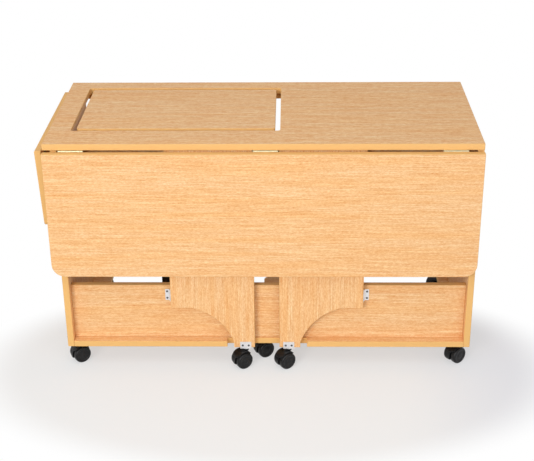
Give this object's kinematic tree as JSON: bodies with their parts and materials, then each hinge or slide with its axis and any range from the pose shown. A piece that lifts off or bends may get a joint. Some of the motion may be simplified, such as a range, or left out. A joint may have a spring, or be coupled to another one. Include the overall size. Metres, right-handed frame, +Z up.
{
  "type": "sewing cabinet",
  "caption": "Oak-look sewing cabinet on castors, with a lift platform in its worktop, a fold-down rear leaf over gate legs and a folding side leaf.",
  "frame": {"origin": "middle of the footprint, on the floor", "axes": "+X to the right seen from the rear, +Y from the rear leaf towards the person who sews, +Z up"},
  "size_m": [1.205, 0.5346, 0.6965],
  "materials": {
    "oak_board": "melamine-faced board with an oak grain and banded edges",
    "bright_zinc": "bright zinc-plated steel",
    "castor_zinc": "zinc-plated pressed steel",
    "black_steel": "black powder coat",
    "black_plastic": "black moulded nylon"
  },
  "bodies": {
    "cabinet": {"bottom_board": "oak_board", "castor_front_left_mount": "castor_zinc", "castor_front_right_mount": "castor_zinc", "castor_rear_left_mount": "castor_zinc", "castor_rear_middle_mount": "castor_zinc", "castor_rear_right_mount": "castor_zinc", "front_rail": "oak_board", "gas_spring_cylinder": "black_steel", "gate_hinge_left_lower_fixed": "bright_zinc", "gate_hinge_left_upper_fixed": "bright_zinc", "gate_hinge_right_lower_fixed": "bright_zinc", "gate_hinge_right_upper_fixed": "bright_zinc", "leaf_support_front_pivot": "bright_zinc", "leaf_support_rear_pivot": "bright_zinc", "lift_column_outer": "black_steel", "low_rear_panel": "oak_board", "rear_hinge_left_fixed": "bright_zinc", "rear_hinge_middle_fixed": "bright_zinc", "rear_hinge_right_fixed": "bright_zinc", "side_hinge_front_fixed": "bright_zinc", "side_hinge_rear_fixed": "bright_zinc", "side_panel_left": "oak_board", "side_panel_right": "oak_board", "upper_rear_rail": "oak_board", "worktop": "oak_board"},
    "rear_leaf": {"rear_leaf": "oak_board", "rear_hinge_left_swing": "bright_zinc", "rear_hinge_middle_swing": "bright_zinc", "rear_hinge_right_swing": "bright_zinc"},
    "side_leaf": {"side_leaf": "oak_board", "side_hinge_rear_swing": "bright_zinc", "side_hinge_front_swing": "bright_zinc"},
    "gate_leg_left": {"gate_leg_left": "oak_board", "gate_hinge_left_lower_swing": "bright_zinc", "gate_hinge_left_upper_swing": "bright_zinc", "castor_leg_left_mount": "castor_zinc"},
    "gate_leg_right": {"gate_leg_right": "oak_board", "gate_hinge_right_lower_swing": "bright_zinc", "gate_hinge_right_upper_swing": "bright_zinc", "castor_leg_right_mount": "castor_zinc"},
    "lift": {"lift_platform": "oak_board", "lift_column_inner": "black_steel", "gas_spring_rod": "bright_zinc"},
    "leaf_support_rear": {"leaf_support_rear": "bright_zinc"},
    "leaf_support_front": {"leaf_support_front": "bright_zinc"},
    "castor_rear_left_swivel": {"castor_rear_left_hood": "black_plastic"},
    "castor_rear_left_wheels": {"castor_rear_left_wheels": "black_plastic"},
    "castor_rear_middle_swivel": {"castor_rear_middle_hood": "black_plastic"},
    "castor_rear_middle_wheels": {"castor_rear_middle_wheels": "black_plastic"},
    "castor_rear_right_swivel": {"castor_rear_right_hood": "black_plastic"},
    "castor_rear_right_wheels": {"castor_rear_right_wheels": "black_plastic"},
    "castor_front_left_swivel": {"castor_front_left_hood": "black_plastic"},
    "castor_front_left_wheels": {"castor_front_left_wheels": "black_plastic"},
    "castor_front_right_swivel": {"castor_front_right_hood": "black_plastic"},
    "castor_front_right_wheels": {"castor_front_right_wheels": "black_plastic"},
    "castor_leg_left_swivel": {"castor_leg_left_hood": "black_plastic"},
    "castor_leg_left_wheels": {"castor_leg_left_wheels": "black_plastic"},
    "castor_leg_right_swivel": {"castor_leg_right_hood": "black_plastic"},
    "castor_leg_right_wheels": {"castor_leg_right_wheels": "black_plastic"}
  },
  "joints": [
    {"name": "rear_leaf_fold", "type": "hinge", "parent": "cabinet", "child": "rear_leaf", "pos_m": [0.01252, -0.24316, 0.6756], "axis": [-1, 0, 0], "range_deg": [0, 90]},
    {"name": "side_leaf_fold", "type": "hinge", "parent": "cabinet", "child": "side_leaf", "pos_m": [-0.57998, 0.01234, 0.6738], "axis": [0, 1, 0], "range_deg": [0, 92.4]},
    {"name": "gate_leg_left_swing", "type": "hinge", "parent": "cabinet", "child": "gate_leg_left", "pos_m": [-0.25678, -0.21596, 0], "axis": [0, 0, -1], "range_deg": [0, 1.5]},
    {"name": "gate_leg_right_swing", "type": "hinge", "parent": "cabinet", "child": "gate_leg_right", "pos_m": [0.29582, -0.21596, 0], "axis": [0, 0, 1], "range_deg": [0, 1.5]},
    {"name": "lift_slide", "type": "slide", "parent": "cabinet", "child": "lift", "axis": [0, 0, 1], "range_m": [-0.268, 0]},
    {"name": "leaf_support_rear_turn", "type": "hinge", "parent": "cabinet", "child": "leaf_support_rear", "pos_m": [-0.56773, -0.10266, 0], "axis": [0, 0, 1], "range_deg": [0, 90]},
    {"name": "leaf_support_front_turn", "type": "hinge", "parent": "cabinet", "child": "leaf_support_front", "pos_m": [-0.56773, 0.12734, 0], "axis": [0, 0, -1], "range_deg": [0, 90]},
    {"name": "castor_rear_left_turn", "type": "hinge", "parent": "cabinet", "child": "castor_rear_left_swivel", "pos_m": [-0.51998, -0.19466, 0], "axis": [0, 0, 1], "continuous": true},
    {"name": "castor_rear_left_roll", "type": "hinge", "parent": "castor_rear_left_swivel", "child": "castor_rear_left_wheels", "pos_m": [-0.53145, -0.20269, 0.025], "axis": [0.5736, -0.8192, 0], "continuous": true},
    {"name": "castor_rear_middle_turn", "type": "hinge", "parent": "cabinet", "child": "castor_rear_middle_swivel", "pos_m": [0.01952, -0.16616, 0], "axis": [0, 0, 1], "continuous": true},
    {"name": "castor_rear_middle_roll", "type": "hinge", "parent": "castor_rear_middle_swivel", "child": "castor_rear_middle_wheels", "pos_m": [0.00764, -0.17358, 0.025], "axis": [0.5299, -0.848, 0], "continuous": true},
    {"name": "castor_rear_right_turn", "type": "hinge", "parent": "cabinet", "child": "castor_rear_right_swivel", "pos_m": [0.57752, -0.19466, 0], "axis": [0, 0, 1], "continuous": true},
    {"name": "castor_rear_right_roll", "type": "hinge", "parent": "castor_rear_right_swivel", "child": "castor_rear_right_wheels", "pos_m": [0.56679, -0.20366, 0.025], "axis": [0.6428, -0.766, 0], "continuous": true},
    {"name": "castor_front_left_turn", "type": "hinge", "parent": "cabinet", "child": "castor_front_left_swivel", "pos_m": [-0.51168, 0.23534, 0], "axis": [0, 0, 1], "continuous": true},
    {"name": "castor_front_left_roll", "type": "hinge", "parent": "castor_front_left_swivel", "child": "castor_front_left_wheels", "pos_m": [-0.52241, 0.22634, 0.025], "axis": [0.6428, -0.766, 0], "continuous": true},
    {"name": "castor_front_right_turn", "type": "hinge", "parent": "cabinet", "child": "castor_front_right_swivel", "pos_m": [0.56922, 0.23534, 0], "axis": [0, 0, 1], "continuous": true},
    {"name": "castor_front_right_roll", "type": "hinge", "parent": "castor_front_right_swivel", "child": "castor_front_right_wheels", "pos_m": [0.55819, 0.22673, 0.025], "axis": [0.6157, -0.788, 0], "continuous": true},
    {"name": "castor_leg_left_turn", "type": "hinge", "parent": "gate_leg_left", "child": "castor_leg_left_swivel", "pos_m": [-0.04248, -0.22866, 0], "axis": [0, 0, 1], "continuous": true},
    {"name": "castor_leg_left_roll", "type": "hinge", "parent": "castor_leg_left_swivel", "child": "castor_leg_left_wheels", "pos_m": [-0.05409, -0.23649, 0.025], "axis": [0.5592, -0.829, 0], "continuous": true},
    {"name": "castor_leg_right_turn", "type": "hinge", "parent": "gate_leg_right", "child": "castor_leg_right_swivel", "pos_m": [0.08152, -0.22866, 0], "axis": [0, 0, 1], "continuous": true},
    {"name": "castor_leg_right_roll", "type": "hinge", "parent": "castor_leg_right_swivel", "child": "castor_leg_right_wheels", "pos_m": [0.07019, -0.23689, 0.025], "axis": [0.5878, -0.809, 0], "continuous": true}
  ]
}
